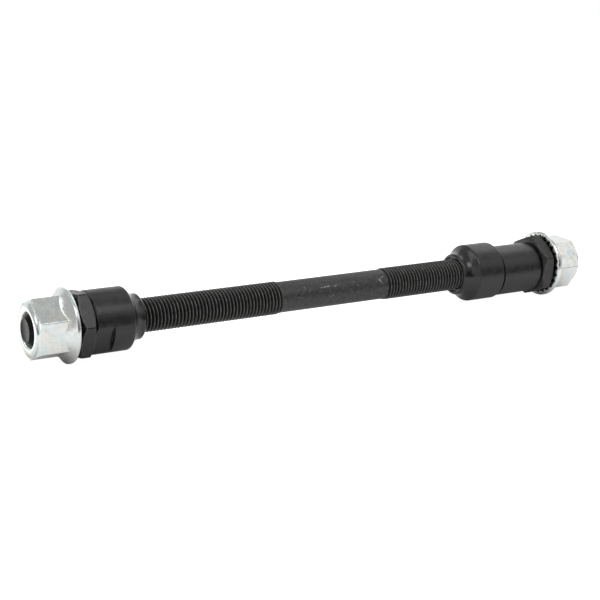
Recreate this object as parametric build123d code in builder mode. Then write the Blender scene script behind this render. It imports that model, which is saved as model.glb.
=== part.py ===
from build123d import *
from math import atan2, cos, radians, sin, tan
import os

os.makedirs("parts", exist_ok=True)

# A solid bicycle hub axle with its two cones, spacer, locknuts and flanged axle nuts.
# The axle lies along Y with its middle at the origin, and Z is up. Millimetres.

# Axle: the threaded stretches are plain cylinders at the thread's crests
axle_length = 185.0
thread_diameter = 9.5
shank_diameter = 8.9
left_thread_length = 75.65
right_thread_length = 73.85
thread_runout = 0.8
tip_flat_diameter = 6.5
tip_angle = 45

# Fits and seats
running_clearance = 0.05
seat_gap = 0.03

# Flanged axle nuts
nut_across_flats = 15.0
nut_length = 11.2
nut_end_circle = 10.8
nut_chamfer_angle = 18
nut_mouth_depth = 0.4
flange_diameter = 20.4
flange_rim = 0.9
flange_edge = 0.25
flare_height = 4.7
flare_foot_inset = 0.25
flare_hollow = 0.35
left_nut_inset = 0.6
right_nut_inset = 1.2
left_nut_turn = 20.9
right_nut_turn = -4.7

# Radial teeth on the nuts' seating faces
tooth_count = 26
tooth_depth = 0.9
tooth_margin = 0.3
tooth_groove_angle = 110
tooth_ring_inner_diameter = 15.6

# Locknuts
locknut_across_flats = 17.0
left_locknut_thickness = 4.8
right_locknut_thickness = 4.4
locknut_face_circle = 16.2
locknut_chamfer_angle = 30
locknut_mouth_depth = 0.5
left_locknut_turn = 4.0
right_locknut_turn = 20.7

# Cones: barrel, rounded shoulder, ground ball race and nose
barrel_diameter = 17.4
back_chamfer = 0.4
nose_diameter = 12.6
nose_length = 0.9
nose_chamfer = 0.5
race_radius = 3.35
race_wrap = 49
shoulder_radius = 0.7
recess_diameter = 10.8
recess_depth = 0.8
left_cone_length = 15.3
right_cone_length = 13.9
wrench_flat_width = 15.0
wrench_flat_length = 5.0
wrench_flat_turn = -29.3

# Spacer tube: it is bored loose and hangs on the thread's crests
spacer_diameter = 15.35
spacer_bore_diameter = 10.7
spacer_length = 15.75
spacer_edge = 0.35

# Radii that several pieces share
thread_radius = thread_diameter / 2
threaded_bore_radius = thread_radius + running_clearance
barrel_radius = barrel_diameter / 2
nose_radius = nose_diameter / 2
flange_radius = flange_diameter / 2

# Places along the axle, worked out from each tip towards the middle
left_tip = -axle_length / 2
right_tip = axle_length / 2
left_nut_seat = left_tip + left_nut_inset + nut_length
left_locknut_outer = left_nut_seat + seat_gap
left_cone_back = left_locknut_outer + left_locknut_thickness + seat_gap
right_nut_seat = right_tip - right_nut_inset - nut_length
right_locknut_outer = right_nut_seat - seat_gap
right_spacer_outer = right_locknut_outer - right_locknut_thickness - seat_gap
right_cone_back = right_spacer_outer - spacer_length - seat_gap
spacer_sag = spacer_bore_diameter / 2 - threaded_bore_radius


def section(y, towards, drop=0.0):
    """Half-section plane: x is the radius, and y the distance from y along `towards`."""
    return Plane(origin=(0, y, -drop), x_dir=(1, 0, 0), z_dir=(0, 0, towards))


def across(y, towards):
    """Plane square to the axle at y, facing `towards`."""
    return Plane(origin=(0, y, 0), x_dir=(1, 0, 0), z_dir=(0, towards, 0))


def write(piece, name):
    """Label a finished piece and write its file."""
    piece.part.label = name
    export_step(piece.part, f"parts/{name}.step")


def make_axle():
    """One rod: two threaded stretches run out into a thinner bare shank."""
    shank_radius = shank_diameter / 2
    tip_radius = tip_flat_diameter / 2
    tip_chamfer = (thread_radius - tip_radius) / tan(radians(tip_angle))
    left_thread_end = left_tip + left_thread_length
    right_thread_end = right_tip - right_thread_length
    with BuildPart() as axle:
        with BuildSketch(Plane.XY):
            with BuildLine():
                Polyline(
                    (0, left_tip),
                    (tip_radius, left_tip),
                    (thread_radius, left_tip + tip_chamfer),
                    (thread_radius, left_thread_end - thread_runout),
                    (shank_radius, left_thread_end),
                    (shank_radius, right_thread_end),
                    (thread_radius, right_thread_end + thread_runout),
                    (thread_radius, right_tip - tip_chamfer),
                    (tip_radius, right_tip),
                    (0, right_tip),
                    close=True,
                )
            make_face()
        revolve(axis=Axis.Y)
    write(axle, "axle")


def make_cone(name, back_y, inward, length, flats):
    """Cone: its back faces outward, and its ball race and nose face the axle's middle."""
    race_bottom = length - nose_length
    race_top = race_bottom - race_radius * sin(radians(race_wrap))
    race_top_radius = nose_radius + race_radius * (1 - cos(radians(race_wrap)))
    race_middle = race_bottom - race_radius * sin(radians(race_wrap / 2))
    race_middle_radius = nose_radius + race_radius * (1 - cos(radians(race_wrap / 2)))
    shoulder_corner = race_top - (barrel_radius - race_top_radius) / tan(radians(race_wrap))
    shoulder_reach = shoulder_radius * tan(radians(race_wrap / 2))
    shoulder_start = shoulder_corner - shoulder_reach
    shoulder_end = shoulder_corner + shoulder_reach * cos(radians(race_wrap))
    shoulder_end_radius = barrel_radius - shoulder_reach * sin(radians(race_wrap))
    recess_radius = recess_diameter / 2
    with BuildPart() as cone:
        with BuildSketch(section(back_y, inward)):
            with BuildLine():
                Polyline(
                    (threaded_bore_radius, 0),
                    (barrel_radius - back_chamfer, 0),
                    (barrel_radius, back_chamfer),
                    (barrel_radius, shoulder_start),
                )
                TangentArc(
                    (barrel_radius, shoulder_start),
                    (shoulder_end_radius, shoulder_end),
                    tangent=(0, 1),
                )
                Line((shoulder_end_radius, shoulder_end), (race_top_radius, race_top))
                ThreePointArc(
                    (race_top_radius, race_top),
                    (race_middle_radius, race_middle),
                    (nose_radius, race_bottom),
                )
                Polyline(
                    (nose_radius, race_bottom),
                    (nose_radius, length - nose_chamfer),
                    (nose_radius - nose_chamfer, length),
                    (recess_radius, length),
                    (recess_radius, length - recess_depth),
                    (threaded_bore_radius, length - recess_depth),
                    (threaded_bore_radius, 0),
                )
            make_face()
        revolve(axis=Axis.Y)
        if flats:
            with BuildSketch(across(back_y, inward)):
                Circle(barrel_diameter)
                Rectangle(
                    wrench_flat_width,
                    2 * barrel_diameter,
                    rotation=-inward * wrench_flat_turn,
                    mode=Mode.SUBTRACT,
                )
            extrude(amount=wrench_flat_length, mode=Mode.SUBTRACT)
    write(cone, name)


def make_spacer(name, outer_y, inward):
    """Plain tube between the right cone and its locknut."""
    outer_radius = spacer_diameter / 2
    bore_radius = spacer_bore_diameter / 2
    with BuildPart() as spacer:
        with BuildSketch(section(outer_y, inward, drop=spacer_sag)):
            with BuildLine():
                Polyline(
                    (bore_radius, spacer_edge),
                    (bore_radius + spacer_edge, 0),
                    (outer_radius - spacer_edge, 0),
                    (outer_radius, spacer_edge),
                    (outer_radius, spacer_length - spacer_edge),
                    (outer_radius - spacer_edge, spacer_length),
                    (bore_radius + spacer_edge, spacer_length),
                    (bore_radius, spacer_length - spacer_edge),
                    close=True,
                )
            make_face()
        revolve(axis=Axis((0, 0, -spacer_sag), (0, 1, 0)))
    write(spacer, name)


def make_locknut(name, outer_y, inward, thickness, turn):
    """Thin hexagon nut, chamfered on both faces, that jams against its cone or spacer."""
    corner_radius = locknut_across_flats / 2 / cos(radians(30))
    face_radius = locknut_face_circle / 2
    chamfer_depth = (corner_radius - face_radius) * tan(radians(locknut_chamfer_angle))
    mouth_radius = threaded_bore_radius + locknut_mouth_depth
    with BuildPart() as locknut:
        with BuildSketch(across(outer_y, inward)):
            RegularPolygon(corner_radius, 6, rotation=-inward * turn)
        extrude(amount=thickness)
        with BuildSketch(section(outer_y, inward)):
            with BuildLine():
                Polyline(
                    (threaded_bore_radius, locknut_mouth_depth),
                    (mouth_radius, 0),
                    (face_radius, 0),
                    (corner_radius, chamfer_depth),
                    (corner_radius, thickness - chamfer_depth),
                    (face_radius, thickness),
                    (mouth_radius, thickness),
                    (threaded_bore_radius, thickness - locknut_mouth_depth),
                    close=True,
                )
            make_face()
        revolve(axis=Axis.Y, mode=Mode.INTERSECT)
    write(locknut, name)


def tooth_groove_planes(seat_y, outward, turn, ring_radius):
    """Planes square to the groove floors, which rise from the recess and run out inside the rim."""
    fall = atan2(tooth_depth, flange_radius - tooth_margin - ring_radius)
    planes = []
    for tooth in range(tooth_count):
        angle = radians(turn + 360 * tooth / tooth_count)
        radial = Vector(cos(angle), 0, sin(angle))
        sideways = Vector(-sin(angle), 0, cos(angle))
        axial = Vector(0, outward, 0)
        planes.append(
            Plane(
                origin=Vector(0, seat_y, 0) + radial * ring_radius + axial * tooth_depth,
                x_dir=sideways * outward,
                z_dir=radial * cos(fall) - axial * sin(fall),
            )
        )
    return planes


def make_flange_nut(name, seat_y, outward, turn):
    """Hexagon nut forged with a bell-shaped flange, whose seating face is cut in radial teeth."""
    corner_radius = nut_across_flats / 2 / cos(radians(30))
    end_radius = nut_end_circle / 2
    end_chamfer = (corner_radius - end_radius) * tan(radians(nut_chamfer_angle))
    flare_foot_radius = nut_across_flats / 2 - flare_foot_inset
    mouth_radius = threaded_bore_radius + nut_mouth_depth
    ring_radius = tooth_ring_inner_diameter / 2
    groove_planes = tooth_groove_planes(seat_y, outward, turn, ring_radius)
    groove_height = 2 * tooth_depth
    groove_half_width = groove_height * tan(radians(tooth_groove_angle / 2))
    with BuildPart() as nut:
        with BuildSketch(across(seat_y, outward)):
            RegularPolygon(corner_radius, 6, rotation=-outward * turn)
        extrude(amount=nut_length)
        with BuildSketch(section(seat_y, outward)):
            with BuildLine():
                Polyline(
                    (0, 0),
                    (corner_radius, 0),
                    (corner_radius, nut_length - end_chamfer),
                    (end_radius, nut_length),
                    (0, nut_length),
                    close=True,
                )
            make_face()
        revolve(axis=Axis.Y, mode=Mode.INTERSECT)
        with BuildSketch(section(seat_y, outward)):
            with BuildLine():
                Polyline(
                    (0, flare_height),
                    (0, 0),
                    (flange_radius - flange_edge, 0),
                    (flange_radius, flange_edge),
                    (flange_radius, flange_rim),
                    (flange_radius - flange_edge, flange_rim + flange_edge),
                )
                SagittaArc(
                    (flange_radius - flange_edge, flange_rim + flange_edge),
                    (flare_foot_radius, flare_height),
                    flare_hollow,
                )
                Line((flare_foot_radius, flare_height), (0, flare_height))
            make_face()
        revolve(axis=Axis.Y)
        with BuildSketch(section(seat_y, outward)):
            with BuildLine():
                Polyline(
                    (0, 0),
                    (ring_radius, 0),
                    (ring_radius, tooth_depth),
                    (mouth_radius, tooth_depth),
                    (threaded_bore_radius, tooth_depth + nut_mouth_depth),
                    (threaded_bore_radius, nut_length - nut_mouth_depth),
                    (mouth_radius, nut_length),
                    (0, nut_length),
                    close=True,
                )
            make_face()
        revolve(axis=Axis.Y, mode=Mode.SUBTRACT)
        with BuildSketch(*groove_planes):
            with BuildLine():
                Polyline(
                    (0, 0),
                    (groove_half_width, groove_height),
                    (-groove_half_width, groove_height),
                    close=True,
                )
            make_face()
        extrude(amount=flange_radius, mode=Mode.SUBTRACT)
    write(nut, name)


make_axle()
make_cone("left_cone", left_cone_back, 1, left_cone_length, flats=True)
make_cone("right_cone", right_cone_back, -1, right_cone_length, flats=False)
make_spacer("right_spacer", right_spacer_outer, -1)
make_locknut("left_locknut", left_locknut_outer, 1, left_locknut_thickness, left_locknut_turn)
make_locknut("right_locknut", right_locknut_outer, -1, right_locknut_thickness, right_locknut_turn)
make_flange_nut("left_flange_nut", left_nut_seat, -1, left_nut_turn)
make_flange_nut("right_flange_nut", right_nut_seat, 1, right_nut_turn)
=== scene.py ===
from math import atan2, ceil, cos, hypot, pi, radians, sin, sqrt, tan

import bmesh
import bpy
from mathutils import Matrix, Vector


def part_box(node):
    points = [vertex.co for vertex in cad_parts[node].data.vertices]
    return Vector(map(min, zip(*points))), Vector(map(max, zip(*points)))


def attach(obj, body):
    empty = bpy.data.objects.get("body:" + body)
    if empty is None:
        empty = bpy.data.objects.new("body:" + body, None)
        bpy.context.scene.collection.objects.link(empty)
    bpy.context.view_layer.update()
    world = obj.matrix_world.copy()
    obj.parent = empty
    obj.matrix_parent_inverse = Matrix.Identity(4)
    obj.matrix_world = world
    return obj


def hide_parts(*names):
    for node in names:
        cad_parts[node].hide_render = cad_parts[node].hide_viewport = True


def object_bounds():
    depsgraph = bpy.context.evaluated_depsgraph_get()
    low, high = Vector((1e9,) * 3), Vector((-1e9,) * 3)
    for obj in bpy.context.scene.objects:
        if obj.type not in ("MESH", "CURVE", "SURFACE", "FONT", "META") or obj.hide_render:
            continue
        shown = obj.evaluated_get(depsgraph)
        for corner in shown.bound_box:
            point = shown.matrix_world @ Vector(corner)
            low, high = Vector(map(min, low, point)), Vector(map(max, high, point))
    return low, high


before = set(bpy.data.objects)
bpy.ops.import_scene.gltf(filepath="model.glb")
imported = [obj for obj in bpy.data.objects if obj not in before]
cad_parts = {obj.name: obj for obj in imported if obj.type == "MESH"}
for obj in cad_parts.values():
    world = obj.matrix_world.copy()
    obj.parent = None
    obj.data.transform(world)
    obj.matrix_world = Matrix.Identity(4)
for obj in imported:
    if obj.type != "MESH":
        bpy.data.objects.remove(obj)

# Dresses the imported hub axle: a real helical thread on the rod, softened edges on every turned
# and forged piece, black and zinc finishes, and a white studio. Blender's unit is the metre.

bl_info = {
    "name": "Bicycle Hub Axle",
    "version": (1, 0, 0),
    "blender": (4, 5, 0),
    "location": "View3D > Sidebar > Hub Axle",
    "description": "Threads, edges, metal finishes and studio for a packed bicycle hub axle",
    "category": "Object",
}

MM = 0.001
INCH = 25.4 * MM
CAD_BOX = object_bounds()


# Settings

def length(name, description, default):
    """A length that a user may change."""
    return bpy.props.FloatProperty(
        name=name, description=description, default=default, min=0.0, unit="LENGTH", precision=5
    )


def angle(name, description, default):
    """An angle that a user may change."""
    return bpy.props.FloatProperty(name=name, description=description, default=default, subtype="ANGLE")


def amount(name, description, default, high=1.0):
    """A plain number that a user may change."""
    return bpy.props.FloatProperty(
        name=name, description=description, default=default, min=0.0, max=high, precision=3
    )


def count(name, description, default, low, high):
    """A whole number that a user may change."""
    return bpy.props.IntProperty(name=name, description=description, default=default, min=low, max=high)


def tone(name, description, default):
    """A colour that a user may change."""
    return bpy.props.FloatVectorProperty(
        name=name, description=description, default=default, size=3, min=0.0, max=1.0, subtype="COLOR"
    )


class ThreadSettings(bpy.types.PropertyGroup):
    """The thread rolled on both ends of the rod"""

    threads_per_inch: amount("Threads per inch", "Turns of the thread in one inch of the rod", 24.0, 60.0)
    depth: length("Depth", "From the thread's crest to its root", 0.70 * MM)
    crest_width: length("Crest width", "Flat left at the top of each turn", 0.13 * MM)
    root_width: length("Root width", "Flat left at the bottom of each turn", 0.14 * MM)
    rounding: length("Rounding", "How much crest and root are rounded into the flanks", 0.045 * MM)
    fade_turns: amount("Fading turns", "Turns over which the thread dies into the shank", 0.8, 6.0)
    steps_per_turn: count("Steps per turn", "Straight steps in one turn of the thread", 48, 12, 96)


class TurnedSettings(bpy.types.PropertyGroup):
    """How far use has softened the turned pieces"""

    cone_edge: length("Cone edges", "Width of the softened edges of the cones", 0.10 * MM)
    spacer_edge: length("Spacer edges", "Width of the softened edges of the spacer", 0.08 * MM)
    sharp_angle: angle("Sharp angle", "Corners that turn by more than this are softened", radians(24))
    segments: count("Segments", "Steps across a softened edge", 3, 1, 6)


class LocknutSettings(bpy.types.PropertyGroup):
    """The thin hexagon locknuts"""

    across_flats: length("Across flats", "Between two opposite flats", 17.0 * MM)
    face_circle: length("Face circle", "Diameter of the flat ring on the inner face", 16.2 * MM)
    left_outer_circle: length("Left outer circle", "Flat ring of the left one's outer face", 14.4 * MM)
    right_outer_circle: length("Right outer circle", "Flat ring of the right one's outer face", 15.6 * MM)
    chamfer_angle: angle("Chamfer angle", "Slope of the chamfers that trim the corners", radians(30))
    bore: length("Bore", "Diameter over the rod's thread", 9.6 * MM)
    mouth: length("Mouth", "Width of the chamfer round the bore", 0.5 * MM)
    corner_round: length("Corner rounding", "Rounding of the six corners", 0.22 * MM)
    edge_round: length("Edge rounding", "Rounding between flats, chamfers and faces", 0.16 * MM)
    rubbed_width: length("Rubbed width", "How far the rubbed steel reaches from a chamfer's edge", 0.22 * MM)


class FlangeNutSettings(bpy.types.PropertyGroup):
    """The plated axle nuts: a forged hexagon on a flared flange with a toothed face"""

    across_flats: length("Across flats", "Between two opposite flats", 15.0 * MM)
    end_circle: length("End circle", "Diameter at which the outer end starts to fall back", 10.8 * MM)
    chamfer_angle: angle("Chamfer angle", "Slope of the shallow cone on the outer end", radians(18))
    bore: length("Bore", "Diameter over the rod's thread", 9.6 * MM)
    mouth: length("Mouth", "Width of the chamfer round the bore", 0.4 * MM)
    rim: length("Rim", "Height of the flange's round edge", 1.1 * MM)
    rim_round: length("Rim rounding", "Rounding of the flange's edge on the flare's side", 0.25 * MM)
    seat_round: length("Seat rounding", "Rounding of the flange's edge on the toothed side", 0.80 * MM)
    flare_height: length("Flare height", "From the toothed face to where flare and flats meet", 4.7 * MM)
    flare_foot: length("Flare foot", "Diameter where the flare ends under the flats", 14.5 * MM)
    flare_curve: amount("Flare curve", "1 is a straight flare, more is a bell", 1.6, 4.0)
    corner_round: length("Corner rounding", "Rounding of the six corners", 0.15 * MM)
    edge_round: length("Edge rounding", "Rounding between the flats and the end", 0.13 * MM)
    foot_round: length("Foot rounding", "Hollow rounding between the flats and the flare", 0.28 * MM)
    teeth: count("Teeth", "Grooves cut across the seating face", 26, 3, 60)
    tooth_depth: length("Tooth depth", "Depth of a groove at its inner end", 0.9 * MM)
    tooth_margin: length("Tooth margin", "Plain ring left between the grooves and the rim", 0.05 * MM)
    tooth_ring: length("Tooth ring", "Inner diameter of the toothed ring", 15.6 * MM)
    tooth_round: length("Tooth rounding", "Rounding of the edges between grooves and face", 0.05 * MM)
    groove_angle: angle("Groove angle", "Angle between a groove's two sides", radians(110))


class FinishSettings(bpy.types.PropertyGroup):
    """Colours and roughness of the metal finishes"""

    oxide_dark: tone("Black oxide, dark", "Darkest tone of the black oxide", (0.0045, 0.0045, 0.0050))
    oxide_light: tone("Black oxide, light", "Lightest tone of the black oxide", (0.0110, 0.0103, 0.0098))
    oxide_roughness: amount("Black oxide roughness", "Middle roughness of the black oxide", 0.34)
    ground_polish: amount("Ground polish", "How much smoother a ground ball race is", 0.13)
    # Painted shade: the next two settings lay a near-black tone on the spacer beside the right cone, standing
    # in for the shade of the cone's step
    painted_corner_shade: tone("Old oil", "Oil in the corner between the right cone and the spacer", (0.002, 0.002, 0.002))
    painted_shade_length: length("Oily corner", "How far the old oil reaches along the spacer", 1.21 * MM)
    rubbed_edge: tone("Rubbed edges", "Steel that shows where the black is rubbed", (0.11, 0.105, 0.10))
    # Partly painted highlight: the crests' lighter steel is rubbed wear and also stands in for thin
    # highlights along them
    crest_wear_and_highlight: tone("Rubbed crests", "Steel that shows on the thread's crests", (0.15, 0.145, 0.138))
    shank_tone: tone("Shank", "Bare shank between the threads", (0.027, 0.0265, 0.026))
    shank_speck: tone("Shank specks", "Pale specks on the shank", (0.12, 0.118, 0.115))
    shank_scratch: tone("Shank scratches", "Steel that shows in the shank's scratches", (0.27, 0.262, 0.25))
    zinc_warm: tone("Zinc, warm", "Yellowish film in the zinc plating", (0.785, 0.785, 0.745))
    zinc_cool: tone("Zinc, cool", "Bluish film in the zinc plating", (0.715, 0.775, 0.775))
    zinc_stain: tone("Zinc stains", "Cloudy tan stains in the zinc plating", (0.68, 0.64, 0.55))
    zinc_speck: tone("Zinc specks", "Tan specks in the zinc plating", (0.50, 0.43, 0.33))
    zinc_roughness: amount("Zinc roughness", "Middle roughness of the zinc plating", 0.22)


class StudioSettings(bpy.types.PropertyGroup):
    """White studio and the photograph's point of view"""

    camera_azimuth: angle("Azimuth", "Direction of view; zero looks along the axle", radians(58.53))
    camera_elevation: angle("Elevation", "Height of the camera above the horizon", radians(12.66))
    camera_distance: length("Distance", "From the camera to the aimed point, along the view", 404.8 * MM)
    aim_back: length("Aim along the axle", "From the middle to the aimed point, to the left", 9.10 * MM)
    aim_rise: length("Aim rise", "Height of the aimed point over the picture's middle", 1.59 * MM)
    lens: amount("Lens", "Focal length, in millimetres, for a 36 mm wide sensor", 84.12, 300.0)
    key_level: amount("Key light", "Radiance of the softbox over the camera", 3.8, 20.0)
    top_level: amount("Top light", "Radiance of the softbox high beyond the right nut", 1.0, 20.0)
    end_level: amount("End light", "Radiance of the long softbox beyond the left nut", 1.7, 20.0)
    room_level: amount("Room", "Brightness of the room round the object", 0.5, 5.0)
    dark_level: amount("Dark front", "Brightness of the room low down in front", 0.08, 5.0)
    panel_level: amount("Left panel", "Brightness of the low wall in front of the left nut", 0.95, 5.0)
    side_level: amount("Right wall", "Brightness of the wall beyond the right nut", 1.1, 5.0)
    table_level: amount("Table in gloss", "Brightness of the open table as metal shows it", 1.15, 5.0)
    table_gain: amount("Table behind", "How many times brighter that table is behind the axle", 1.45, 5.0)
    table_edge: length("Table edge", "From the axle's line forwards to where the table darkens", 40 * MM)
    table_fade: length("Table fade", "Width over which the table darkens", 55 * MM)
    floor_level: amount("Floor", "Brightness of the floor for the camera", 1.05, 5.0)
    floor_shade: amount("Floor shading", "Share of the floor's look that is its own shade and shadow", 0.06)


# Mesh helpers

def new_piece(name, bm, material, node, body):
    """Turn a finished bmesh into a piece that stands for one CAD node."""
    mesh = bpy.data.meshes.new(name)
    bm.to_mesh(mesh)
    bm.free()
    mesh.materials.append(material)
    piece = bpy.data.objects.new(name, mesh)
    bpy.context.scene.collection.objects.link(piece)
    for polygon in mesh.polygons:
        polygon.use_smooth = True
    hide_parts(node)
    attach(piece, body)
    return piece


def merged_copy(node):
    """A bmesh of a CAD node's surface with its loose triangles joined into whole faces."""
    bm = bmesh.new()
    bm.from_mesh(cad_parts[node].data)
    bmesh.ops.remove_doubles(bm, verts=bm.verts, dist=0.001 * MM)
    bmesh.ops.dissolve_limit(
        bm,
        angle_limit=radians(1),
        use_dissolve_boundaries=False,
        verts=bm.verts,
        edges=bm.edges,
        delimit={"NORMAL"},
    )
    bmesh.ops.recalc_face_normals(bm, faces=bm.faces)
    return bm


def soften(piece, width):
    """Round the piece's sharp edges and keep its flat faces flat."""
    edges = bpy.context.scene.hub_axle_turned
    bevel = piece.modifiers.new("softened edges", "BEVEL")
    bevel.limit_method = "ANGLE"
    bevel.angle_limit = edges.sharp_angle
    bevel.width = width
    bevel.segments = edges.segments
    bevel.use_clamp_overlap = True
    bevel.miter_outer = "MITER_ARC"
    weighted = piece.modifiers.new("flat faces", "WEIGHTED_NORMAL")
    weighted.mode = "FACE_AREA"
    weighted.weight = 60


def radius_of(point):
    """Distance of a point from the axle's middle line."""
    return hypot(point.x, point.z)


def set_radius(vert, radius):
    """Move a vertex in or out, square to the axle."""
    scale = radius / radius_of(vert.co)
    vert.co.x *= scale
    vert.co.z *= scale


def smooth_step(value):
    """0 to 1 with soft ends."""
    share = min(max(value, 0.0), 1.0)
    return share * share * (3 - 2 * share)


def smooth_min(first, second, blend):
    """The smaller of two values, rounded off where they cross."""
    near = max(blend - abs(first - second), 0.0) / blend
    return min(first, second) - near * near * blend / 4


def smooth_max(first, second, blend):
    """The larger of two values, filled in where they cross."""
    return -smooth_min(-first, -second, blend)


def spaced(start, end, steps):
    """Evenly spaced values after `start`, up to `end`."""
    return [start + (end - start) * step / steps for step in range(1, steps + 1)]


def lathe(outline, steps):
    """Spin a closed outline of (radius, place along Y) corners into a ring."""
    bm = bmesh.new()
    corners = [bm.verts.new((radius, place, 0.0)) for radius, place in outline]
    edges = [bm.edges.new(pair) for pair in zip(corners, corners[1:] + corners[:1])]
    bmesh.ops.spin(
        bm,
        geom=corners + edges,
        cent=(0, 0, 0),
        axis=(0, 1, 0),
        angle=radians(360),
        steps=steps,
        use_merge=True,
        use_duplicate=False,
    )
    bmesh.ops.remove_doubles(bm, verts=bm.verts, dist=0.001 * MM)
    return bm


def hexagon_inside(off, radius, across_flats, rounding):
    """Distance from a point to a hexagon's walls, `off` round from the middle of its nearest flat."""
    nearest = across_flats / 2 - radius * cos(off)
    next_flat = across_flats / 2 - radius * cos(radians(60) - abs(off))
    return smooth_min(nearest, next_flat, rounding)


def surface_radius(inside, low, high):
    """Radius at which `inside` falls to zero, between a low and a high one."""
    halvings = 18
    for _ in range(halvings):
        middle = (low + high) / 2
        if inside(middle) > 0:
            low = middle
        else:
            high = middle
    return (low + high) / 2


def draw_in(bm, wide, inside, low, ridge=None):
    """Draw the vertices of a plain outer wall in to a six-sided body's surface.

    `inside` gives the distance inside that body for an angle off a flat's middle, a place and a radius.
    `ridge` gives, for the same three, how near the surface is to an edge; it is kept as "rubbed".
    """
    known = {}
    rubbed = bm.verts.layers.float.new("rubbed")
    for vert in bm.verts:
        if radius_of(vert.co) < wide - 0.1 * MM:
            continue
        off = abs(atan2(vert.co.z, vert.co.x) % radians(60) - radians(30))
        key = (round(off, 5), round(vert.co.y / MM, 4))
        if key not in known:
            place = vert.co.y
            radius = surface_radius(lambda radius: inside(off, place, radius), low, wide)
            known[key] = radius, ridge(off, place, radius) if ridge else 0.0
        radius, vert[rubbed] = known[key]
        set_radius(vert, radius)


def corner_turn(node):
    """Angle above +X of the outermost corner of a CAD nut's hexagon, away from its flange."""
    low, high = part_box(node)
    middle = (low.y + high.y) / 2
    outward = 1 if middle > 0 else -1
    corners = [
        vert.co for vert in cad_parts[node].data.vertices if (vert.co.y - middle) * outward > 0
    ]
    corner = max(corners, key=radius_of)
    return atan2(corner.z, corner.x)


def set_on_axle(bm, seat, outward, turn):
    """Move a nut made at the origin to its seat, facing `outward`, and turn it round the axle."""
    for vert in bm.verts:
        vert.co.y = seat + outward * vert.co.y
    bmesh.ops.rotate(bm, verts=bm.verts, cent=(0, 0, 0), matrix=Matrix.Rotation(-turn, 3, "Y"))
    bmesh.ops.recalc_face_normals(bm, faces=bm.faces)


# Nuts

def locknut_mesh(node, settings):
    """A thin hexagon, trimmed by a chamfer on both faces, drawn in from a plain round ring."""
    low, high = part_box(node)
    thickness = high.y - low.y
    bore = settings.bore / 2
    mouth = bore + settings.mouth
    if low.y < 0:
        faces = [settings.left_outer_circle / 2, settings.face_circle / 2]
    else:
        faces = [settings.face_circle / 2, settings.right_outer_circle / 2]
    wide = settings.across_flats
    slope = settings.chamfer_angle
    lip = 0.1 * MM
    chamfered = 1.8 * MM
    chamfer_steps = 28
    near_rings, far_rings = (
        [mouth, mouth + lip] + spaced(mouth + lip, face - lip, 3) for face in faces
    )
    near_side = [(radius, 0.0) for radius in near_rings]
    far_side = [(radius, thickness) for radius in reversed(far_rings)]
    wall_places = (
        spaced(0.0, chamfered, chamfer_steps)
        + spaced(chamfered, thickness - chamfered, 3)
        + spaced(thickness - chamfered, thickness, chamfer_steps)[:-1]
    )
    outline = (
        [(bore, settings.mouth)] + near_side + [(wide, place) for place in wall_places]
        + far_side + [(bore, thickness - settings.mouth)]
    )
    bm = lathe(outline, steps=180)

    def surfaces(off, place, radius):
        walls = hexagon_inside(off, radius, settings.across_flats, settings.corner_round)
        chamfer = min(
            (face - radius) * sin(slope) + depth * cos(slope)
            for face, depth in zip(faces, (place, thickness - place))
        )
        return walls, chamfer

    def inside(off, place, radius):
        return smooth_min(*surfaces(off, place, radius), settings.edge_round)

    def ridge(off, place, radius):
        walls, chamfer = surfaces(off, place, radius)
        return max(1 - abs(walls - chamfer) / settings.rubbed_width, 0.0)

    draw_in(bm, wide, inside, bore, ridge)
    set_on_axle(bm, low.y, 1, corner_turn(node))
    return bm


def flange_radius_at(settings, rim_radius, place):
    """Radius of the flange and its flare at a distance from the toothed face."""
    rounding = settings.rim_round
    seated = settings.seat_round
    flare_start = settings.rim + rounding
    if place < seated:
        return rim_radius - seated + sqrt(seated ** 2 - (seated - place) ** 2)
    if place < settings.rim:
        return rim_radius
    if place < flare_start:
        return rim_radius - rounding + sqrt(rounding ** 2 - (place - settings.rim) ** 2)
    foot = settings.flare_foot / 2
    left = max(1 - (place - flare_start) / (settings.flare_height - flare_start), 0.0)
    return foot + (rim_radius - rounding - foot) * left ** settings.flare_curve


def groove_depth(settings, rim_radius, turn, radius):
    """Depth of the radial grooves in the seating face; one groove lies under a corner."""
    ring = settings.tooth_ring / 2
    outer = rim_radius - settings.tooth_margin
    floor_depth = settings.tooth_depth * (outer - radius) / (outer - ring)
    pitch = radians(360) / settings.teeth
    off = (turn + pitch / 2) % pitch - pitch / 2
    side = abs(radius * tan(off)) / tan(settings.groove_angle / 2)
    return smooth_max(floor_depth - side, 0.0, settings.tooth_round)


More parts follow.
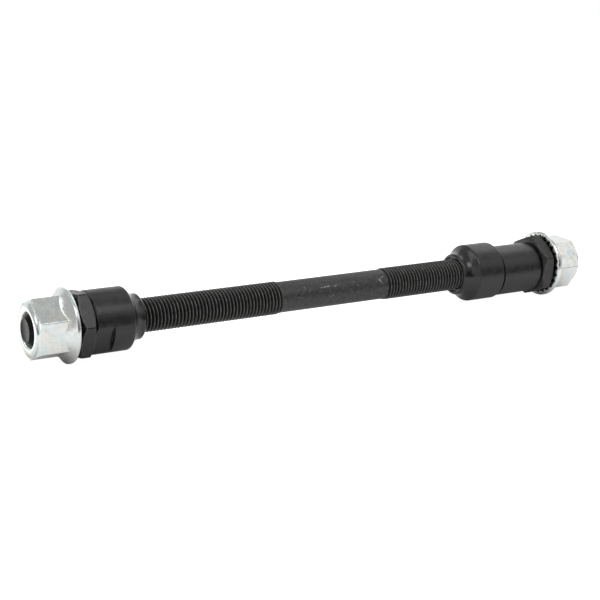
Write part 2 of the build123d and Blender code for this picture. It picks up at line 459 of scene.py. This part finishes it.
def flange_nut_mesh(node, settings):
    """A forged nut, drawn in from a plain round ring: flared flange, hexagon, cone end and teeth."""
    low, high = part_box(node)
    outward = 1 if low.y > 0 else -1
    seat = low.y if outward > 0 else high.y
    height = high.y - low.y
    rim_radius = high.x
    wide = 2 * rim_radius
    bore = settings.bore / 2
    mouth = bore + settings.mouth
    ring = settings.tooth_ring / 2
    hollow = settings.tooth_depth
    end = settings.end_circle / 2
    slope = settings.chamfer_angle
    flare_start = settings.rim + settings.rim_round
    flare_end = settings.flare_height + 0.9 * MM
    cone_start = height - 1.6 * MM
    lip = 0.05 * MM
    lip_drop = 0.03 * MM
    wall_places = (
        spaced(0.0, settings.seat_round, 6)
        + spaced(settings.seat_round, settings.rim, 2)
        + spaced(settings.rim, flare_start, 4)
        + spaced(flare_start, flare_end, 24)
        + spaced(flare_end, cone_start, 4)
        + spaced(cone_start, height, 44)[:-1]
    )
    outline = (
        [(ring, 0.0)]
        + [(radius, 0.0) for radius in spaced(ring, rim_radius - settings.seat_round, 9)]
        + [(wide, place) for place in wall_places]
        + [(mouth + lip, height), (mouth, height), (mouth - lip, height - lip_drop)]
        + [(bore, height - settings.mouth), (bore, hollow + settings.mouth)]
        + [(mouth, hollow), (ring, hollow)]
    )
    steps_per_tooth = 12
    bm = lathe(outline, steps_per_tooth * settings.teeth)

    def inside(off, place, radius):
        walls = hexagon_inside(off, radius, settings.across_flats, settings.corner_round)
        cone = (end - radius) * sin(slope) + (height - place) * cos(slope)
        nut = smooth_min(walls, cone, settings.edge_round)
        flange = flange_radius_at(settings, rim_radius, place) - radius
        return smooth_max(nut, flange, settings.foot_round) if place > flare_start else flange

    draw_in(bm, wide, inside, bore)
    for vert in bm.verts:
        radius = radius_of(vert.co)
        if vert.co.y < settings.rim and radius > ring - 0.01 * MM:
            groove = groove_depth(settings, rim_radius, atan2(vert.co.z, vert.co.x), radius)
            vert.co.y = max(vert.co.y, groove)
    set_on_axle(bm, seat, outward, corner_turn(node))
    return bm


# Threaded rod

def axle_rings():
    """Places along Y and radii of the CAD axle's tips, thread crests and bare shank."""
    radii = {}
    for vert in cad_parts["axle"].data.vertices:
        place = round(vert.co.y, 6)
        radii[place] = max(radii.get(place, 0.0), radius_of(vert.co))
    near = 0.01 * MM
    crest_radius = max(radii.values())
    tips = (min(radii), max(radii))
    crests = [place for place in sorted(radii) if radii[place] > crest_radius - near]
    between = {place: radii[place] for place in radii if crests[1] < place < crests[-2]}
    shank_radius = min(between.values())
    shank = [place for place in sorted(between) if between[place] < shank_radius + near]
    return {
        "tips": tips,
        "tip_radius": radii[tips[0]],
        "crests": (crests[0], crests[-1]),
        "crest_radius": crest_radius,
        "shank": (shank[0], shank[-1]),
        "shank_radius": shank_radius,
    }


def thread_profile(settings, pitch, crest_radius):
    """(radius, place along Y) of one turn of the thread, from one root's middle to the next."""
    root_radius = crest_radius - settings.depth
    half_crest = settings.crest_width / 2
    half_root = settings.root_width / 2
    rounding = settings.rounding
    rising = [
        (root_radius, 0.0),
        (root_radius + rounding / 2, half_root - rounding / 2),
        (crest_radius - rounding, pitch / 2 - half_crest - rounding / 2),
        (crest_radius, pitch / 2 - half_crest + rounding / 2),
    ]
    falling = [(radius, pitch - place) for radius, place in reversed(rising)]
    return rising + falling


def add_turns(bm, profile, pitch, steps, turns):
    """Spin a profile into one turn of a helix, and double it until it has enough turns."""
    corners = [bm.verts.new((radius, place, 0.0)) for radius, place in profile]
    edges = [bm.edges.new(pair) for pair in zip(corners, corners[1:])]
    bmesh.ops.spin(
        bm,
        geom=corners + edges,
        cent=(0, 0, 0),
        axis=(0, 1, 0),
        dvec=(0, pitch / steps, 0),
        angle=radians(360),
        steps=steps,
        use_merge=False,
        use_duplicate=False,
    )
    made = 1
    while made < turns:
        copied = bmesh.ops.duplicate(bm, geom=bm.verts[:] + bm.edges[:] + bm.faces[:])
        moved = [item for item in copied["geom"] if isinstance(item, bmesh.types.BMVert)]
        bmesh.ops.translate(bm, verts=moved, vec=(0, made * pitch, 0))
        made *= 2
    bmesh.ops.remove_doubles(bm, verts=bm.verts, dist=0.002 * MM)


def threaded_stretch(bm, settings, rings, side):
    """Make one threaded stretch, cut it square, chamfer its tip and fade it into the shank.

    It is made at the rod's left end; the right one, side 1, is then swung round Z to its place.
    """
    pitch = INCH / settings.threads_per_inch
    tip, crest_start, end = (abs(rings[name][side]) for name in ("tips", "crests", "shank"))
    start = tip + 1.5 * pitch
    profile = [
        (radius, place - start)
        for radius, place in thread_profile(settings, pitch, rings["crest_radius"])
    ]
    add_turns(bm, profile, pitch, settings.steps_per_turn, ceil((tip - end) / pitch) + 2)
    for place, outward in ((-tip, -1), (-end, 1)):
        bmesh.ops.bisect_plane(
            bm,
            geom=bm.verts[:] + bm.edges[:] + bm.faces[:],
            dist=0.0005 * MM,
            plane_co=(0, place, 0),
            plane_no=(0, outward, 0),
            clear_outer=True,
        )
    tip_radius = rings["tip_radius"]
    shank_radius = rings["shank_radius"]
    slope = (rings["crest_radius"] - tip_radius) / (tip - crest_start)
    for vert in bm.verts:
        kept = smooth_step((-end - vert.co.y) / (settings.fade_turns * pitch))
        faded = shank_radius + (radius_of(vert.co) - shank_radius) * kept
        set_radius(vert, min(faded, tip_radius + (vert.co.y + tip) * slope))
    if side == 1:
        bmesh.ops.rotate(bm, verts=bm.verts, cent=(0, 0, 0), matrix=Matrix.Rotation(pi, 3, "Z"))


def rim_edges(bm, place):
    """The open rim that stands square to the axle at a place along Y."""
    near = 0.002 * MM
    return [
        edge for edge in bm.edges
        if edge.is_boundary and all(abs(vert.co.y - place) < near for vert in edge.verts)
    ]


def close_tip(bm, place):
    """Close the rod's end with a flat face that has a small step round it."""
    made = bmesh.ops.contextual_create(bm, geom=rim_edges(bm, place))
    bmesh.ops.inset_region(bm, faces=made["faces"], thickness=0.12 * MM, depth=0.06 * MM)


def threaded_rod(settings):
    """The whole rod: two threaded stretches, the bare shank between them and two closed tips."""
    rings = axle_rings()
    rod = bmesh.new()
    for side in (0, 1):
        stretch = bmesh.new()
        threaded_stretch(stretch, settings, rings, side)
        mesh = bpy.data.meshes.new("stretch")
        stretch.to_mesh(mesh)
        stretch.free()
        rod.from_mesh(mesh)
        bpy.data.meshes.remove(mesh)
    shank_rims = rim_edges(rod, rings["shank"][0]) + rim_edges(rod, rings["shank"][1])
    bmesh.ops.bridge_loops(rod, edges=shank_rims)
    for tip in rings["tips"]:
        close_tip(rod, tip)
    bmesh.ops.recalc_face_normals(rod, faces=rod.faces)
    return rod


# Material helpers

def add_node(tree, kind, inputs=None, **fields):
    """Add a node, set its own fields, and set or link its inputs by name or number."""
    made = tree.nodes.new(kind)
    for field, value in fields.items():
        setattr(made, field, value)
    for socket, value in (inputs or {}).items():
        if isinstance(value, bpy.types.NodeSocket):
            tree.links.new(value, made.inputs[socket])
        else:
            made.inputs[socket].default_value = value
    return made


def start_material(name):
    """A new material, its node tree and surface shader, and Object coordinates in millimetres."""
    material = bpy.data.materials.new(name)
    material.use_nodes = True
    tree = material.node_tree
    shader = tree.nodes["Principled BSDF"]
    place = add_node(tree, "ShaderNodeTexCoord").outputs["Object"]
    return material, tree, shader, vector_step(tree, "SCALE", {0: place, "Scale": 1 / MM})


def vector_step(tree, operation, inputs, output="Vector"):
    """One step of vector arithmetic."""
    return add_node(tree, "ShaderNodeVectorMath", inputs, operation=operation).outputs[output]


def noise(tree, place, scale, detail=3.0, roughness=0.55):
    """Cloudy noise; scale is in cells for each millimetre."""
    inputs = {"Vector": place, "Scale": scale, "Detail": detail, "Roughness": roughness}
    return add_node(tree, "ShaderNodeTexNoise", inputs).outputs["Fac"]


def remap(tree, value, low, high, to_low=0.0, to_high=1.0, soft=True):
    """Map low..high to to_low..to_high, held at the ends."""
    made = add_node(
        tree,
        "ShaderNodeMapRange",
        {"Value": value, "From Min": low, "From Max": high, "To Min": to_low, "To Max": to_high},
        interpolation_type="SMOOTHSTEP" if soft else "LINEAR",
    )
    return made.outputs["Result"]


def combine(tree, operation, first, *others):
    """Arithmetic on two or more values, taken one after the other."""
    for value in others:
        first = add_node(tree, "ShaderNodeMath", {0: first, 1: value}, operation=operation).outputs["Value"]
    return first


def blend_colours(tree, share, first, second):
    """Mix two colours, or colour sockets, by a share from 0 to 1."""
    colours = [
        value if isinstance(value, bpy.types.NodeSocket) else (*value, 1.0)
        for value in (first, second)
    ]
    made = add_node(tree, "ShaderNodeMix", {0: share, 6: colours[0], 7: colours[1]}, data_type="RGBA")
    return made.outputs[2]


def bump(tree, height, distance, under=None):
    """A bump layer; distance is the height, in metres, of the full range."""
    inputs = {"Height": height, "Distance": distance}
    if under is not None:
        inputs["Normal"] = under
    return add_node(tree, "ShaderNodeBump", inputs).outputs["Normal"]


def link_surface(tree, shader, colour, roughness, normal):
    """Give a shader its colour, its roughness and its relief."""
    tree.links.new(colour, shader.inputs["Base Color"])
    tree.links.new(roughness, shader.inputs["Roughness"])
    tree.links.new(normal, shader.inputs["Normal"])


def round_axle(tree, place):
    """The parts of a place, and its distance from the axle's middle line."""
    parts = add_node(tree, "ShaderNodeSeparateXYZ", {"Vector": place}).outputs
    flat = add_node(tree, "ShaderNodeCombineXYZ", {"X": parts["X"], "Z": parts["Z"]}).outputs["Vector"]
    return parts, vector_step(tree, "LENGTH", {0: flat}, output="Value")


def tool_path(tree, parts, radius):
    """Coordinates that run fast along the tool's path from ring to ring and slowly round the piece."""
    travel = combine(tree, "ADD", parts["Y"], radius)
    slow_x, slow_z = (combine(tree, "MULTIPLY", parts[axis], 0.12) for axis in ("X", "Z"))
    path = add_node(tree, "ShaderNodeCombineXYZ", {"X": slow_x, "Y": travel, "Z": slow_z})
    return path.outputs["Vector"]


# Finishes. Their scales and places are in millimetres.

def cloudy_black(tree, clouds):
    """The dark and the light tone of black oxide, in clouds."""
    finish = bpy.context.scene.hub_axle_finish
    return blend_colours(tree, remap(tree, clouds, 0.34, 0.68), finish.oxide_dark, finish.oxide_light)


def black_oxide(name, turning, ground_radius=None, painted_shade_until=None):
    """Satin black oxide over turned steel: cloudy tone, fine tool rings, pits and rubbed edges.

    The tool rings are `turning` deep.
    Inside ground_radius the surface is ground smoother, as a ball race is.
    Up to a given place along the axle, painted shade, a near-black tone with dulled reflection, darkens the
    corner with the next piece.
    """
    finish = bpy.context.scene.hub_axle_finish
    material, tree, shader, place = start_material(name)
    parts, radius = round_axle(tree, place)
    clouds = noise(tree, place, 0.45, detail=4.0)
    grain = noise(tree, place, 7.0, detail=2.0)
    rings = noise(tree, tool_path(tree, parts, radius), 5.5, detail=3.0, roughness=0.7)
    rubbed = add_node(tree, "ShaderNodeAttribute", attribute_name="rubbed").outputs["Fac"]
    patchy = remap(tree, noise(tree, place, 0.8), 0.35, 0.65, 0.10, 0.75)
    bare = combine(tree, "MULTIPLY", rubbed, patchy)
    colour = blend_colours(tree, bare, cloudy_black(tree, clouds), finish.rubbed_edge)
    uneven = remap(tree, clouds, 0.3, 0.7, finish.oxide_roughness - 0.05, finish.oxide_roughness + 0.05)
    roughness = combine(tree, "ADD", uneven, remap(tree, grain, 0.3, 0.7, -0.05, 0.07))
    if ground_radius is not None:
        polished = remap(tree, radius, ground_radius, ground_radius - 0.3, 0.0, finish.ground_polish)
        roughness = combine(tree, "SUBTRACT", roughness, polished)
    # Painted shade: near-black colour and dulled reflection on the spacer next to the cone's step, where
    # shade falls
    if painted_shade_until is not None:
        corner_shade_mask = remap(tree, parts["Y"], painted_shade_until, painted_shade_until - 0.25, soft=False)
        colour = blend_colours(tree, corner_shade_mask, colour, finish.painted_corner_shade)
        shade_reflection_level = remap(tree, corner_shade_mask, 0.0, 1.0, 0.5, 0.04, soft=False)
        tree.links.new(shade_reflection_level, shader.inputs["Specular IOR Level"])
    grained = bump(tree, grain, 0.006 * MM)
    ringed = bump(tree, rings, turning * MM, under=grained)
    link_surface(tree, shader, colour, roughness, ringed)
    shader.inputs["IOR"].default_value = 1.55
    return material


# Scratches on the bare shank: (place along the axle, degrees round it from +X to +Z) of both ends
SHANK_SCRATCHES = (
    ((17.65, 43.3), (15.96, 30.4)),
    ((15.96, 30.4), (17.06, 15.0)),
    ((-9.82, 40.8), (-9.61, 30.3)),
    ((-4.58, 28.6), (-1.42, 31.8)),
    ((0.40, 29.0), (1.18, 32.6)),
)


def scratch(tree, place, start, end, width):
    """1 on a straight scratch between two points and 0 outside its width."""
    run = end - start
    offset = vector_step(tree, "SUBTRACT", {0: place, 1: start})
    share = vector_step(tree, "DOT_PRODUCT", {0: offset, 1: run / run.length_squared}, output="Value")
    held = remap(tree, share, 0.0, 1.0, soft=False)
    nearest = vector_step(tree, "SCALE", {0: run, "Scale": held})
    gap = vector_step(tree, "DISTANCE", {0: offset, 1: nearest}, output="Value")
    return remap(tree, gap, width, width * 0.3)


def scratched(tree, place, shank_radius):
    """1 on the shank's scratches and 0 beside them, broken up along their length."""
    marks = 0.0
    for ends in SHANK_SCRATCHES:
        start, end = (
            Vector((cos(radians(turn)) * shank_radius, along, sin(radians(turn)) * shank_radius))
            for along, turn in ends
        )
        marks = combine(tree, "MAXIMUM", marks, scratch(tree, place, start, end, width=0.24))
    broken = remap(tree, noise(tree, place, 1.7, detail=2.0), 0.42, 0.58, 0.15, 1.0)
    return combine(tree, "MULTIPLY", marks, broken)


def shank_colour(tree, place, shank_radius):
    """Grey steel with a mottled tone, pale specks and scratches."""
    finish = bpy.context.scene.hub_axle_finish
    mottle = noise(tree, place, 0.95, detail=6.0, roughness=0.8)
    strength = remap(tree, mottle, 0.34, 0.66, 0.3, 1.9, soft=False)
    colour = vector_step(tree, "SCALE", {0: finish.shank_tone, "Scale": strength})
    specks = remap(tree, noise(tree, place, 1.5, roughness=0.7), 0.60, 0.68, 0.0, 0.8)
    colour = blend_colours(tree, specks, colour, finish.shank_speck)
    return blend_colours(tree, scratched(tree, place, shank_radius), colour, finish.shank_scratch)


def axle_steel(name):
    """Blackened rod: painted shade in the thread roots as dulled reflection, crests lightened as rubbed steel
    and painted highlight, and a greyer, specked and scratched shank.
    """
    finish = bpy.context.scene.hub_axle_finish
    rings = axle_rings()
    shank_start, shank_end = (place / MM for place in rings["shank"])
    crest = rings["crest_radius"] / MM
    material, tree, shader, place = start_material(name)
    parts, radius = round_axle(tree, place)
    clouds = noise(tree, place, 0.6, detail=4.0)
    grain = noise(tree, place, 5.0)
    # Crests lightened: rubbed steel and also painted highlight along the crests
    rubbed = remap(tree, radius, crest - 0.16, crest - 0.04)
    patchy = remap(tree, noise(tree, place, 0.9, detail=5.0), 0.35, 0.7, 0.25, 0.9)
    bare = combine(tree, "MULTIPLY", rubbed, patchy)
    thread = blend_colours(tree, bare, cloudy_black(tree, clouds), finish.crest_wear_and_highlight)
    on_shank = combine(
        tree,
        "MULTIPLY",
        remap(tree, parts["Y"], shank_start - 1.2, shank_start),
        remap(tree, parts["Y"], shank_end + 1.2, shank_end),
    )
    colour = blend_colours(tree, on_shank, thread, shank_colour(tree, place, rings["shank_radius"] / MM))
    uneven = remap(tree, on_shank, 0.0, 1.0, 0.30, 0.44)
    roughness = combine(tree, "ADD", uneven, remap(tree, grain, 0.3, 0.7, -0.05, 0.08))
    # Painted shade: reflection turned down towards the thread roots, standing in for the shade in the grooves
    reflection_above_root_shade = remap(tree, radius, crest - 0.50, crest - 0.08, 0.08, 0.55)
    sheen = combine(tree, "MAXIMUM", reflection_above_root_shade, combine(tree, "MULTIPLY", on_shank, 0.5))
    tree.links.new(sheen, shader.inputs["Specular IOR Level"])
    link_surface(tree, shader, colour, roughness, bump(tree, grain, 0.012 * MM))
    return material


def zinc_plate(name):
    """Bright zinc over a forging: yellow and blue film, cloudy tan stains, slow waves and pits."""
    finish = bpy.context.scene.hub_axle_finish
    material, tree, shader, place = start_material(name)
    film = noise(tree, place, 0.28)
    waves = noise(tree, place, 0.35, detail=2.0)
    peel = noise(tree, place, 1.3)
    grain = noise(tree, place, 6.0)
    cloud = noise(tree, place, 0.55, detail=5.0, roughness=0.65)
    tint = blend_colours(tree, remap(tree, film, 0.38, 0.62), finish.zinc_warm, finish.zinc_cool)
    stained = remap(tree, cloud, 0.50, 0.68, 0.0, 0.45)
    tint = blend_colours(tree, stained, tint, finish.zinc_stain)
    specks = remap(tree, noise(tree, place, 2.4, roughness=0.6), 0.66, 0.74, 0.0, 0.7)
    colour = blend_colours(tree, specks, tint, finish.zinc_speck)
    uneven = remap(tree, cloud, 0.35, 0.68, finish.zinc_roughness - 0.05, finish.zinc_roughness + 0.10)
    roughness = combine(tree, "ADD", uneven, remap(tree, grain, 0.3, 0.7, -0.04, 0.06))
    forged = bump(tree, waves, 0.10 * MM)
    peeled = bump(tree, peel, 0.016 * MM, under=forged)
    pitted = bump(tree, grain, 0.006 * MM, under=peeled)
    link_surface(tree, shader, colour, roughness, pitted)
    shader.inputs["Metallic"].default_value = 1.0
    return material


# Studio

def point_towards(azimuth, elevation):
    """Direction outwards from the object; azimuth 0 leads out past the left tip."""
    return Vector((
        sin(azimuth) * cos(elevation),
        -cos(azimuth) * cos(elevation),
        sin(elevation),
    ))


def white_floor(settings):
    """White for the camera, shaded and shadowed a little.

    In gloss it is a glowing white table with a painted contact shadow, from ambient occlusion, that darkens
    it close to the object; it ends in front of the axle.
    """
    material = bpy.data.materials.new("white_floor")
    material.use_nodes = True
    tree = material.node_tree
    tree.nodes.clear()
    rays = add_node(tree, "ShaderNodeLightPath").outputs
    place = add_node(tree, "ShaderNodeTexCoord").outputs["Object"]
    forwards = add_node(tree, "ShaderNodeSeparateXYZ", {"Vector": place}).outputs["X"]
    table_end = settings.table_edge + settings.table_fade
    past_table = 0.06
    brightest_place = -22 * MM
    shade_reach = 150 * MM
    table = remap(tree, forwards, table_end, settings.table_edge, past_table, settings.table_level)
    behind = remap(tree, forwards, 0.0, brightest_place, 1.0, settings.table_gain)
    # Painted shadow: the table's glow in gloss is dimmed by ambient occlusion close to the object
    painted_shadow_occlusion = add_node(tree, "ShaderNodeAmbientOcclusion", {"Distance": shade_reach}, samples=8)
    painted_shadow_openness = painted_shadow_occlusion.outputs["AO"]
    gloss_level = combine(tree, "MULTIPLY", table, behind, painted_shadow_openness)
    camera_level = combine(tree, "MULTIPLY", rays["Is Camera Ray"], settings.floor_level)
    level = combine(tree, "MAXIMUM", gloss_level, camera_level)
    shaded = add_node(tree, "ShaderNodeBsdfDiffuse", {"Color": (0.86, 0.86, 0.86, 1.0)})
    white = add_node(tree, "ShaderNodeEmission", {"Color": (1.0, 1.0, 1.0, 1.0), "Strength": level})
    seen = combine(tree, "MULTIPLY", rays["Is Camera Ray"], 1.0 - settings.floor_shade)
    mirrored = combine(tree, "ADD", rays["Is Glossy Ray"], rays["Is Transmission Ray"])
    share = combine(tree, "MAXIMUM", seen, mirrored)
    mixed = add_node(tree, "ShaderNodeMixShader", {0: share, 1: shaded.outputs[0], 2: white.outputs[0]})
    add_node(tree, "ShaderNodeOutputMaterial", {"Surface": mixed.outputs[0]})
    return material


def add_floor(settings):
    """A wide floor under the flanges."""
    bm = bmesh.new()
    bmesh.ops.create_grid(bm, x_segments=4, y_segments=4, size=3.0)
    bmesh.ops.translate(bm, verts=bm.verts, vec=(0, 0, CAD_BOX[0].z))
    mesh = bpy.data.meshes.new("floor")
    bm.to_mesh(mesh)
    bm.free()
    mesh.materials.append(white_floor(settings))
    floor = bpy.data.objects.new("floor", mesh)
    bpy.context.scene.collection.objects.link(floor)


def add_world(settings):
    """Room light: a white backdrop behind the object, a grey room round it, dark low down in front.

    Places in the room are parts of the direction to them: forwards is X, along is Y and rise is Z.
    """
    world = bpy.data.worlds.new("studio")
    bpy.context.scene.world = world
    world.use_nodes = True
    tree = world.node_tree
    tree.nodes.clear()
    direction = add_node(tree, "ShaderNodeTexCoord").outputs["Generated"]
    parts = add_node(tree, "ShaderNodeSeparateXYZ", {"Vector": direction}).outputs
    forwards, along, rise = (parts[axis] for axis in ("X", "Y", "Z"))
    rays = add_node(tree, "ShaderNodeLightPath").outputs

    in_front = remap(tree, forwards, 0.05, 0.55)
    not_far_right = remap(tree, along, 0.66, 0.46, 0.35, 1.0)
    not_far_left = remap(tree, along, -0.40, -0.12)
    low_down = remap(tree, rise, 0.50, 0.16)
    dark = combine(tree, "MULTIPLY", low_down, in_front, not_far_right, not_far_left)
    room = remap(tree, dark, 0.0, 1.0, settings.room_level, settings.dark_level)

    far_left = remap(tree, along, -0.25, -0.50)
    panel_height = remap(tree, rise, 0.64, 0.46, 0.0, settings.panel_level)
    panel = combine(tree, "MULTIPLY", far_left, in_front, panel_height)

    far_right = remap(tree, along, 0.44, 0.62)
    over_table = remap(tree, rise, 0.20, 0.36)
    under_top = remap(tree, rise, 0.78, 0.60)
    right_wall = combine(tree, "MULTIPLY", far_right, over_table, under_top, settings.side_level)

    away = -point_towards(settings.camera_azimuth, 0)
    facing = vector_step(tree, "DOT_PRODUCT", {0: direction, 1: away}, output="Value")
    backdrop = combine(tree, "MULTIPLY", remap(tree, facing, 0.25, 0.55), remap(tree, rise, 0.72, 0.46))

    strength = combine(tree, "MAXIMUM", room, panel, right_wall, backdrop, rays["Is Camera Ray"])
    background = add_node(tree, "ShaderNodeBackground", {"Color": (1.0, 1.0, 1.0, 1.0), "Strength": strength})
    add_node(tree, "ShaderNodeOutputWorld", {"Surface": background.outputs[0]})


def add_softbox(name, middle, along, width, height, radiance):
    """A rectangular lamp of even radiance round a middle point; it faces the axle's middle.

    Its width lies as near as it can to the direction `along`.
    """
    middle = Vector(middle)
    lamp = bpy.data.lights.new(name, "AREA")
    lamp.shape = "RECTANGLE"
    lamp.size = width
    lamp.size_y = height
    lamp.energy = radiance * pi * width * height
    softbox = bpy.data.objects.new(name, lamp)
    bpy.context.scene.collection.objects.link(softbox)
    back = middle.normalized()
    upright = back.cross(Vector(along)).normalized()
    level = upright.cross(back)
    softbox.matrix_world = Matrix.Translation(middle) @ Matrix((level, upright, back)).transposed().to_4x4()


def add_camera(settings):
    """Camera at the photograph's point of view."""
    outward = point_towards(settings.camera_azimuth, settings.camera_elevation)
    facing = outward.to_track_quat("Z", "Y").to_matrix()
    upward = facing @ Vector((0, 1, 0))
    data = bpy.data.cameras.new("photo_camera")
    data.lens = settings.lens
    data.sensor_width = 36.0
    data.clip_start = 10 * MM
    data.clip_end = 100.0
    camera = bpy.data.objects.new("photo_camera", data)
    bpy.context.scene.collection.objects.link(camera)
    aimed = Vector((0, -settings.aim_back, 0))
    place = aimed + outward * settings.camera_distance - upward * settings.aim_rise
    camera.matrix_world = Matrix.Translation(place) @ facing.to_4x4()
    bpy.context.scene.camera = camera


# Operators

class HUBAXLE_OT_threaded_rod(bpy.types.Operator):
    """Make the rod with its two helical threads"""

    bl_idname = "hub_axle.threaded_rod"
    bl_label = "Threaded Rod"

    def execute(self, context):
        rod = threaded_rod(context.scene.hub_axle_thread)
        new_piece("threaded_rod", rod, axle_steel("axle_steel"), "axle", "axle")
        return {"FINISHED"}


class HUBAXLE_OT_cones(bpy.types.Operator):
    """Make both cones with their ground ball races"""

    bl_idname = "hub_axle.cones"
    bl_label = "Cones"

    def execute(self, context):
        barrel_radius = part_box("right_cone")[1].x / MM
        finish = black_oxide("cone_black", turning=0.012, ground_radius=barrel_radius - 0.02)
        for side in ("left", "right"):
            node = f"{side}_cone"
            cone = new_piece(f"{side}_cone_turned", merged_copy(node), finish, node, node)
            soften(cone, context.scene.hub_axle_turned.cone_edge)
        return {"FINISHED"}


class HUBAXLE_OT_spacer(bpy.types.Operator):
    """Make the spacer tube"""

    bl_idname = "hub_axle.spacer"
    bl_label = "Spacer"

    def execute(self, context):
        node = "right_spacer"
        # Painted shade on the spacer beside the right cone
        painted_shade_until = (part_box(node)[0].y + context.scene.hub_axle_finish.painted_shade_length) / MM
        finish = black_oxide("spacer_black", turning=0.016, painted_shade_until=painted_shade_until)
        spacer = new_piece("right_spacer_turned", merged_copy(node), finish, node, node)
        soften(spacer, context.scene.hub_axle_turned.spacer_edge)
        return {"FINISHED"}


class HUBAXLE_OT_locknuts(bpy.types.Operator):
    """Make both thin locknuts"""

    bl_idname = "hub_axle.locknuts"
    bl_label = "Locknuts"

    def execute(self, context):
        finish = black_oxide("locknut_black", turning=0.006)
        for side in ("left", "right"):
            node = f"{side}_locknut"
            mesh = locknut_mesh(node, context.scene.hub_axle_locknut)
            new_piece(f"{side}_locknut_cut", mesh, finish, node, node)
        return {"FINISHED"}


class HUBAXLE_OT_flange_nuts(bpy.types.Operator):
    """Make both plated axle nuts with their toothed flanges"""

    bl_idname = "hub_axle.flange_nuts"
    bl_label = "Axle Nuts"

    def execute(self, context):
        finish = zinc_plate("zinc_plate")
        for side in ("left", "right"):
            node = f"{side}_flange_nut"
            mesh = flange_nut_mesh(node, context.scene.hub_axle_flange_nut)
            new_piece(f"{side}_flange_nut_forged", mesh, finish, node, node)
        return {"FINISHED"}


class HUBAXLE_OT_studio(bpy.types.Operator):
    """Set up the floor, the room, the lamps and the camera"""

    bl_idname = "hub_axle.studio"
    bl_label = "Studio"

    def execute(self, context):
        settings = context.scene.hub_axle_studio
        add_floor(settings)
        add_world(settings)
        add_softbox(
            "beyond_right_nut", middle=(-0.130, 0.340, 0.450), along=(0, 1, 0),
            width=0.30, height=0.24, radiance=settings.top_level,
        )
        add_softbox(
            "key", middle=(0.360, -0.050, 0.450), along=(0, 1, 0),
            width=0.40, height=0.20, radiance=settings.key_level,
        )
        add_softbox(
            "beyond_left_nut", middle=(-0.060, -0.330, 0.420), along=(1, 0, 0),
            width=0.60, height=0.12, radiance=settings.end_level,
        )
        add_camera(settings)
        context.scene.view_settings.view_transform = "Standard"
        return {"FINISHED"}


OPERATORS = (
    HUBAXLE_OT_threaded_rod,
    HUBAXLE_OT_cones,
    HUBAXLE_OT_spacer,
    HUBAXLE_OT_locknuts,
    HUBAXLE_OT_flange_nuts,
    HUBAXLE_OT_studio,
)

SETTINGS = {
    "hub_axle_thread": ThreadSettings,
    "hub_axle_turned": TurnedSettings,
    "hub_axle_locknut": LocknutSettings,
    "hub_axle_flange_nut": FlangeNutSettings,
    "hub_axle_finish": FinishSettings,
    "hub_axle_studio": StudioSettings,
}


class HUBAXLE_PT_panel(bpy.types.Panel):
    """Buttons for each group of pieces and for the studio, over their settings"""

    bl_idname = "HUBAXLE_PT_panel"
    bl_label = "Hub Axle"
    bl_space_type = "VIEW_3D"
    bl_region_type = "UI"
    bl_category = "Hub Axle"

    def draw(self, context):
        for operator in OPERATORS:
            self.layout.operator(operator.bl_idname)
        for group in SETTINGS:
            settings = getattr(context.scene, group)
            box = self.layout.box()
            for field in settings.__annotations__:
                box.prop(settings, field)


def register():
    for name, group in SETTINGS.items():
        bpy.utils.register_class(group)
        setattr(bpy.types.Scene, name, bpy.props.PointerProperty(type=group))
    for operator in OPERATORS:
        bpy.utils.register_class(operator)
    bpy.utils.register_class(HUBAXLE_PT_panel)


def unregister():
    bpy.utils.unregister_class(HUBAXLE_PT_panel)
    for operator in reversed(OPERATORS):
        bpy.utils.unregister_class(operator)
    for name, group in reversed(SETTINGS.items()):
        delattr(bpy.types.Scene, name)
        bpy.utils.unregister_class(group)


def main():
    register()
    bpy.ops.hub_axle.threaded_rod()
    bpy.ops.hub_axle.cones()
    bpy.ops.hub_axle.spacer()
    bpy.ops.hub_axle.locknuts()
    bpy.ops.hub_axle.flange_nuts()
    bpy.ops.hub_axle.studio()


if __name__ == "__main__":
    main()
